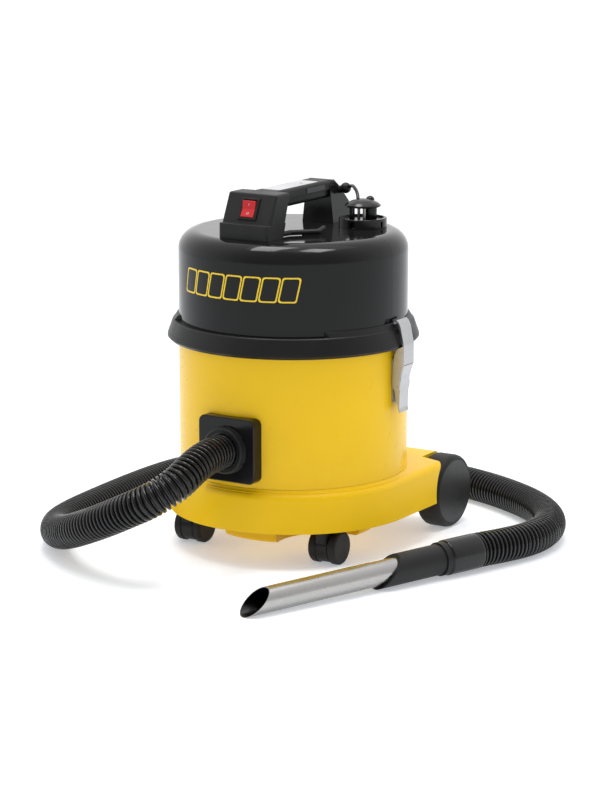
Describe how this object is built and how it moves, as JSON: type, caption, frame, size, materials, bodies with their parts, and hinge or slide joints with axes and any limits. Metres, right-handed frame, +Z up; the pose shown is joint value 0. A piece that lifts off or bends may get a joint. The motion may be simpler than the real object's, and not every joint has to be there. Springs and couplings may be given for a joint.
{
  "type": "drum vacuum cleaner",
  "caption": "Upright drum dry vacuum cleaner on a castor dolly: domed motor head with handle and rocker switch, side toggle latches, ribbed hose and steel tube.",
  "frame": {"origin": "on the floor, under the middle of the machine between the hose socket's ring and the rear wheels' tread", "axes": "+Z up along the drum's axis, -Y towards the hose socket at the front, +X to the machine's right as seen facing its front from -Y"},
  "size_m": [0.6392, 0.6889, 0.4743],
  "materials": {
    "dolly_yellow": "moulded yellow plastic, satin gloss",
    "drum_yellow": "yellow powder coat, smooth and satin",
    "steel": "turned and pressed steel",
    "motor_grey": "moulded glass-filled plastic",
    "wheel_black": "hard black tread, matte",
    "cap_grey": "dark grey satin plastic",
    "castor_black": "black plastic, satin",
    "castor_wheel": "hard black rubber",
    "trim_black": "black moulded plastic",
    "seal_rubber": "soft black rubber",
    "gloss_black": "polished black plastic",
    "ring_black": "black plastic, satin",
    "hose_black": "ribbed black soft plastic",
    "card": "stiff card",
    "paper": "filter paper",
    "foam": "open grey foam",
    "filter_cloth": "felted filter cloth",
    "handle_black": "black plastic, fine satin",
    "rocker_red": "red plastic",
    "inlay_grey": "pale grey satin plate",
    "pad_grey": "soft grey pad",
    "plug_black": "black moulded plug",
    "brass_pins": "bright plated brass",
    "cable_black": "black cable jacket",
    "latch_steel": "zinc-plated pressed steel",
    "adapter_black": "black plastic, satin",
    "tube_steel": "polished stainless steel"
  },
  "bodies": {
    "machine": {"axle_clips": "steel", "bag_collar": "card", "cable_hooks": "handle_black", "castor_sleeves": "trim_black", "cuff_adapter": "adapter_black", "dolly_base": "dolly_yellow", "drum": "drum_yellow", "drum_seal": "seal_rubber", "dust_bag": "paper", "exhaust_foam": "foam", "fan_case": "steel", "filter_cage": "trim_black", "filter_sleeve": "filter_cloth", "grip_inlay": "inlay_grey", "grip_lower": "handle_black", "grip_pads": "pad_grey", "grip_upper": "handle_black", "handle_screw": "steel", "head_dome": "gloss_black", "head_floor": "trim_black", "head_ring": "ring_black", "hose": "hose_black", "hose_cuff": "hose_black", "hose_end": "hose_black", "inlet_plate": "gloss_black", "inlet_screws": "steel", "inlet_seal": "seal_rubber", "inlet_sleeve": "trim_black", "latch_brackets": "latch_steel", "latch_rivets": "latch_steel", "lead_gland": "trim_black", "motor_gasket": "seal_rubber", "motor_housing": "motor_grey", "plug_body": "plug_black", "plug_holder": "handle_black", "plug_pins": "brass_pins", "rear_axle": "steel", "rear_post": "handle_black", "steel_tube": "tube_steel", "supply_lead": "cable_black", "switch_bezel": "trim_black", "switch_box": "handle_black", "under_pan": "dolly_yellow"},
    "wheel_right": {"rear_wheel_right": "wheel_black", "wheel_cap_right": "cap_grey"},
    "wheel_left": {"rear_wheel_left": "wheel_black", "wheel_cap_left": "cap_grey"},
    "castor_right": {"castor_fork_right": "castor_black"},
    "castor_left": {"castor_fork_left": "castor_black"},
    "castor_rollers_right": {"castor_wheels_right": "castor_wheel"},
    "castor_rollers_left": {"castor_wheels_left": "castor_wheel"},
    "rotor": {"motor_rotor": "steel"},
    "rocker": {"switch_rocker": "rocker_red"},
    "lever_right": {"latch_lever_right": "latch_steel"},
    "lever_left": {"latch_lever_left": "latch_steel"},
    "strap_right": {"latch_strap_right": "latch_steel"},
    "strap_left": {"latch_strap_left": "latch_steel"},
    "lock_ring": {"hose_collar": "trim_black"},
    "air_ring": {"bleed_ring": "trim_black"}
  },
  "joints": [
    {"name": "wheel_right_spin", "type": "hinge", "parent": "machine", "child": "wheel_right", "pos_m": [0.138, 0.14275, 0.0495], "axis": [1, 0, 0], "continuous": true},
    {"name": "wheel_left_spin", "type": "hinge", "parent": "machine", "child": "wheel_left", "pos_m": [-0.138, 0.14275, 0.0495], "axis": [1, 0, 0], "continuous": true},
    {"name": "castor_right_swivel", "type": "hinge", "parent": "machine", "child": "castor_right", "pos_m": [0.104, -0.11425, 0.06], "axis": [0, 0, 1], "continuous": true},
    {"name": "castor_left_swivel", "type": "hinge", "parent": "machine", "child": "castor_left", "pos_m": [-0.104, -0.11425, 0.06], "axis": [0, 0, 1], "continuous": true},
    {"name": "castor_right_roll", "type": "hinge", "parent": "castor_right", "child": "castor_rollers_right", "pos_m": [0.104, -0.10025, 0.022], "axis": [1, 0, 0], "continuous": true},
    {"name": "castor_left_roll", "type": "hinge", "parent": "castor_left", "child": "castor_rollers_left", "pos_m": [-0.104, -0.10025, 0.022], "axis": [1, 0, 0], "continuous": true},
    {"name": "motor_spin", "type": "hinge", "parent": "machine", "child": "rotor", "pos_m": [0, -0.02025, 0.35], "axis": [0, 0, 1], "continuous": true},
    {"name": "rocker_tilt", "type": "hinge", "parent": "machine", "child": "rocker", "pos_m": [0, -0.1238, 0.45397], "axis": [-1, 0, 0], "range_deg": [0, 13]},
    {"name": "lever_right_open", "type": "hinge", "parent": "machine", "child": "lever_right", "pos_m": [0.161, -0.01225, 0.246], "axis": [0, -1, 0], "range_deg": [0, 100]},
    {"name": "lever_left_open", "type": "hinge", "parent": "machine", "child": "lever_left", "pos_m": [-0.161, -0.01225, 0.246], "axis": [0, 1, 0], "range_deg": [0, 100]},
    {"name": "strap_right_swing", "type": "hinge", "parent": "lever_right", "child": "strap_right", "pos_m": [0.159, -0.01225, 0.2235], "axis": [0, -1, 0], "range_deg": [-112, 0]},
    {"name": "strap_left_swing", "type": "hinge", "parent": "lever_left", "child": "strap_left", "pos_m": [-0.159, -0.01225, 0.2235], "axis": [0, 1, 0], "range_deg": [-112, 0]},
    {"name": "lock_ring_twist", "type": "hinge", "parent": "machine", "child": "lock_ring", "pos_m": [0, -0.18725, 0.153], "axis": [0, 1, 0], "range_deg": [0, 30]},
    {"name": "air_ring_twist", "type": "hinge", "parent": "machine", "child": "air_ring", "pos_m": [0.25684, -0.07901, 0.02274], "axis": [-0.37, -0.9288, -0.0215], "range_deg": [0, 90]}
  ],
  "couplings": [
    {"joint": "strap_right_swing", "follows": "lever_right_open", "ratio": -1.1},
    {"joint": "strap_left_swing", "follows": "lever_left_open", "ratio": -1.1}
  ]
}
